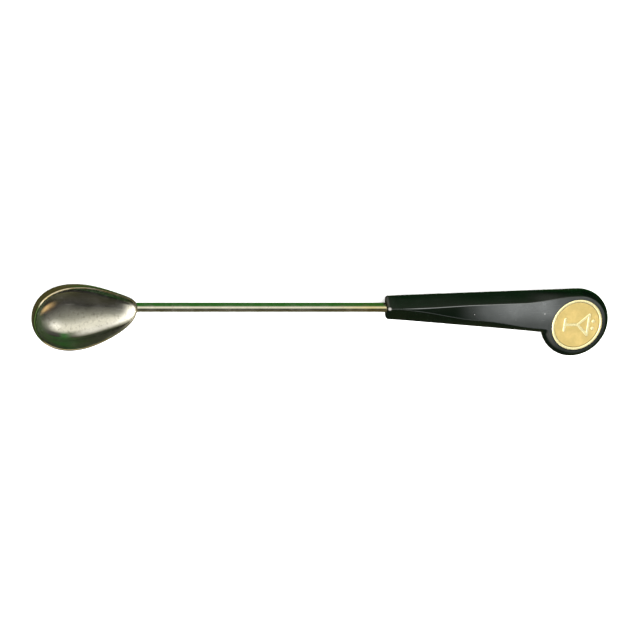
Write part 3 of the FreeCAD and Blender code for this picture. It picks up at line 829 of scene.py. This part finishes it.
def medallion_paint():
    """Lacquered gold plate: grained satin field, polished relief, painted shade round the foot of the relief,
    darker in the groove.
    """
    paint = Paint("medallion_gold")
    relief = paint.band(paint.attribute("relief"), 0.15, 0.75)
    groove = paint.attribute("groove")
    field = paint.mix(paint.noise(900, 3.0), (0.56, 0.42, 0.14), (0.74, 0.57, 0.23))
    clouds = paint.band(paint.noise(150, 2.0), 0.35, 0.65)
    field = paint.mix(paint.sum("MULTIPLY", clouds, 0.45), field, (0.44, 0.34, 0.12))
    colour = paint.mix(relief, field, (0.98, 0.88, 0.48))
    # The field round the foot of the relief is painted darker: painted shade.
    near_relief = paint.band(paint.attribute("relief"), 0.0, 0.12)
    foot = paint.sum("MULTIPLY", near_relief, paint.sum("SUBTRACT", 1.0, relief))
    colour = paint.mix(paint.sum("MULTIPLY", foot, 0.8), colour, (0.16, 0.1, 0.03))
    # Darker in the groove.
    colour = paint.mix(paint.sum("MULTIPLY", groove, 0.9), colour, (0.05, 0.04, 0.025))
    roughness = paint.mix(relief, (0.38, 0.38, 0.38), (0.17, 0.17, 0.17))
    grain = paint.noise(5200, 2.0)
    rough = paint.sum("ADD", roughness, paint.sum("MULTIPLY", paint.noise(700, 2.0), 0.1))
    paint.bump(paint.sum("MULTIPLY", grain, paint.sum("SUBTRACT", 1.0, relief)), 1.6e-5)
    paint.bump(paint.noise(1500, 2.0), 3e-6)
    return paint.set(Base_Color=colour, Metallic=0.78, Roughness=rough)


def cement_paint():
    """Set epoxy cement, brown and slightly uneven."""
    paint = Paint("cement")
    colour = paint.mix(paint.noise(1200, 2.0), (0.03, 0.024, 0.016), (0.07, 0.055, 0.035))
    paint.bump(paint.noise(2500, 2.0), 1e-5)
    return paint.set(Base_Color=colour, Roughness=paint.band(paint.noise(1500, 2.0), 0.3, 0.7, 0.4, 0.6))


# ---------------------------------------------------------------- the object

cement = cement_paint()
for piece, replaced, slot, material in (
    (make_bowl(), "bowl", "bowl_plate", bowl_paint()),
    (make_shank(), "shank", "shank_metal", shank_paint()),
    (make_solder(), "solder_fillet", "solder", solder_paint()),
    (make_handle(), "handle", "handle_black", handle_paint()),
    (make_medallion(), "medallion", "medallion_metal", medallion_paint()),
):
    piece.data.materials.clear()
    piece.data.materials.append(material)
    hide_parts(replaced)
for node in ("shank_cement", "medallion_cement"):
    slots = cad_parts[node].material_slots
    for each in slots:
        each.material = cement

# ---------------------------------------------------------------- floor, light and camera


def make_floor():
    """A plain pale floor. Reflections leave it out, so that the metal mirrors the studio below it."""
    size = 6.0
    corners = [(-size, -size, 0), (size, -size, 0), (size, size, 0), (-size, size, 0)]
    mesh = bpy.data.meshes.new("floor")
    mesh.from_pydata(corners, [], [(0, 1, 2, 3)])
    floor = bpy.data.objects.new("floor", mesh)
    bpy.context.scene.collection.objects.link(floor)
    material = bpy.data.materials.new("floor_pale")
    material.use_nodes = True
    shader = material.node_tree.nodes["Principled BSDF"]
    shader.inputs["Base Color"].default_value = (0.93, 0.93, 0.93, 1)
    shader.inputs["Roughness"].default_value = 1.0
    shader.inputs["Specular IOR Level"].default_value = 0.0
    mesh.materials.append(material)
    floor.visible_glossy = False


# What shiny surfaces mirror: a soft box overhead that narrows towards the handle's end, green low on the +Y
# side, a dark wall on the -Y side and, high on that wall, a strip of pale wood.
WINDOW = (1.6, 1.56, 1.4)
PALE = (0.9, 0.88, 0.74)
GREY = (0.3, 0.3, 0.24)
DIM = (0.06, 0.06, 0.045)
DARK = (0.008, 0.006, 0.003)
GREEN = (0.025, 0.15, 0.02)
OLIVE = (0.12, 0.12, 0.05)
MOSS = (0.05, 0.08, 0.03)
WOOD = (0.9, 0.6, 0.26)

# A direction has a sideways part, its x, and an angle about the X axis in degrees up from +Y. Each row is one
# sideways part, with the colours met on the way round.
STUDIO = [
    (-0.2, [(-180, DIM), (-60, OLIVE), (0, OLIVE), (30, PALE), (50, WINDOW), (150, WINDOW), (170, DIM)]),
    (0.1, [
        (-180, DIM), (-60, OLIVE), (0, OLIVE), (20, GREY), (45, WINDOW), (110, WINDOW), (135, PALE),
        (150, DIM),
    ]),
    (0.25, [
        (-180, DIM), (-60, OLIVE), (-30, GREEN), (15, DIM), (45, GREY), (60, PALE), (80, PALE), (100, GREY),
        (120, DIM), (150, DARK),
    ]),
    (0.4, [
        (-180, OLIVE), (-80, OLIVE), (-60, GREEN), (40, GREEN), (60, PALE), (80, PALE), (100, GREY),
        (120, DARK),
    ]),
    (0.5, [
        (-180, OLIVE), (-60, GREEN), (0, DARK), (45, DIM), (60, PALE), (80, WINDOW), (100, GREY), (115, DARK),
    ]),
    (0.7, [
        (-180, OLIVE), (-60, GREEN), (0, DARK), (45, DIM), (75, GREY), (90, GREY), (105, DIM), (115, DARK),
        (120, WOOD), (125, WOOD), (130, DARK),
    ]),
    (0.9, [(-180, MOSS), (0, MOSS)]),
]

# What they mirror by way of another shiny surface: much dimmer, but for the -X end.
DEEP_STUDIO = [
    (-0.8, [(-180, PALE), (0, PALE)]),
    (-0.5, [(-180, DIM), (0, DARK), (75, DARK), (105, DIM)]),
    (-0.2, [(-180, MOSS), (0, DARK), (75, DARK), (105, MOSS)]),
    (0.1, [(-180, GREEN), (0, DARK), (75, DARK), (120, GREEN)]),
    (0.6, [(-180, MOSS), (0, MOSS)]),
]


class World:
    """The world's node tree: white light on everything, and the studio above for mirror-like surfaces."""

    def __init__(self):
        world = bpy.data.worlds.new("studio")
        bpy.context.scene.world = world
        world.use_nodes = True
        self.tree = world.node_tree
        self.tree.nodes.clear()

    def add(self, kind, **settings):
        node = self.tree.nodes.new(kind)
        for key, value in settings.items():
            setattr(node, key, value)
        return node

    def span(self, value, low, high):
        """value from low to high taken to 0 to 1."""
        node = self.add("ShaderNodeMapRange")
        self.tree.links.new(value, node.inputs["Value"])
        node.inputs["From Min"].default_value = low
        node.inputs["From Max"].default_value = high
        return node.outputs["Result"]

    def ramp(self, turn, rows):
        """The colours of one row of the studio; the last one runs on to the first."""
        node = self.add("ShaderNodeValToRGB")
        self.tree.links.new(turn, node.inputs["Fac"])
        stops = node.color_ramp.elements
        rows = rows + [(180, rows[0][1])]
        while len(stops) < len(rows):
            stops.new(0.5)
        for stop, (degrees, colour) in zip(stops, rows):
            stop.position = (degrees + 180) / 360
            stop.color = (*colour, 1)
        return node.outputs["Color"]

    def room(self, studio):
        """A studio's rows, one blended into the next."""
        split = self.add("ShaderNodeSeparateXYZ")
        self.tree.links.new(self.add("ShaderNodeTexCoord").outputs["Generated"], split.inputs[0])
        angle = self.add("ShaderNodeMath", operation="ARCTAN2")
        self.tree.links.new(split.outputs["Z"], angle.inputs[0])
        self.tree.links.new(split.outputs["Y"], angle.inputs[1])
        turn = self.span(angle.outputs[0], -math.pi, math.pi)
        sideways, colour = studio[0][0], self.ramp(turn, studio[0][1])
        for after, rows in studio[1:]:
            blend = self.add("ShaderNodeMix", data_type="RGBA")
            self.tree.links.new(self.span(split.outputs["X"], sideways, after), blend.inputs[0])
            self.tree.links.new(colour, blend.inputs[6])
            self.tree.links.new(self.ramp(turn, rows), blend.inputs[7])
            sideways, colour = after, blend.outputs[2]
        return colour


# A small bright lamp: its direction, the cosines where its edge starts and ends, and its brightness. It isn't
# seen by way of another shiny surface.
LAMP_WAY = Vector((-0.25, -0.34, 0.91)).normalized()
LAMP_EDGE = (0.975, 0.99)
LAMP_COLOUR = (9.0, 8.8, 8.2, 1)
# The strength of the even white light that matte surfaces get.
PLAIN_LIGHT = 3.2


def make_world():
    world = World()
    path = world.add("ShaderNodeLightPath")
    mirrored = world.add("ShaderNodeBackground")
    towards = world.add("ShaderNodeVectorMath", operation="DOT_PRODUCT")
    world.tree.links.new(world.add("ShaderNodeTexCoord").outputs["Generated"], towards.inputs[0])
    towards.inputs[1].default_value = LAMP_WAY
    lamp = world.add("ShaderNodeMix", data_type="RGBA")
    world.tree.links.new(world.span(towards.outputs["Value"], *LAMP_EDGE), lamp.inputs[0])
    world.tree.links.new(world.room(STUDIO), lamp.inputs[6])
    lamp.inputs[7].default_value = LAMP_COLOUR
    by_depth = world.add("ShaderNodeMix", data_type="RGBA")
    world.tree.links.new(world.span(path.outputs["Glossy Depth"], 1, 2), by_depth.inputs[0])
    world.tree.links.new(lamp.outputs[2], by_depth.inputs[6])
    world.tree.links.new(world.room(DEEP_STUDIO), by_depth.inputs[7])
    world.tree.links.new(by_depth.outputs[2], mirrored.inputs["Color"])
    plain = world.add("ShaderNodeBackground")
    plain.inputs["Color"].default_value = (1, 1, 1, 1)
    plain.inputs["Strength"].default_value = PLAIN_LIGHT
    choose = world.add("ShaderNodeMixShader")
    world.tree.links.new(path.outputs["Is Glossy Ray"], choose.inputs[0])
    world.tree.links.new(plain.outputs[0], choose.inputs[1])
    world.tree.links.new(mirrored.outputs[0], choose.inputs[2])
    world.tree.links.new(choose.outputs[0], world.add("ShaderNodeOutputWorld").inputs["Surface"])


# The camera's axes in the row frame, and where the middle of its frame falls, measured from the datum.
RIGHT = Vector((0.9196, 0.1466, 0.3645)).normalized()
UP = Vector((0.0, 0.9278, -0.3731)).normalized()
BACK = RIGHT.cross(UP)
FRAME_WIDTH = 271.2 * MM
AIM = DATUM + RIGHT * -27.85 * MM + UP * -5.4 * MM
DISTANCE = 10.0


def make_camera():
    """A view from far off, without perspective, at the photograph's angle."""
    data = bpy.data.cameras.new("camera")
    camera = bpy.data.objects.new("camera", data)
    bpy.context.scene.collection.objects.link(camera)
    data.type = "ORTHO"
    data.ortho_scale = FRAME_WIDTH
    data.clip_end = 100
    turn = Matrix((RIGHT, UP, BACK)).transposed()
    camera.matrix_world = Matrix.Translation(AIM + BACK * DISTANCE) @ turn.to_4x4()
    bpy.context.scene.camera = camera


make_floor()
make_world()
make_camera()
bpy.context.scene.view_settings.view_transform = "Standard"
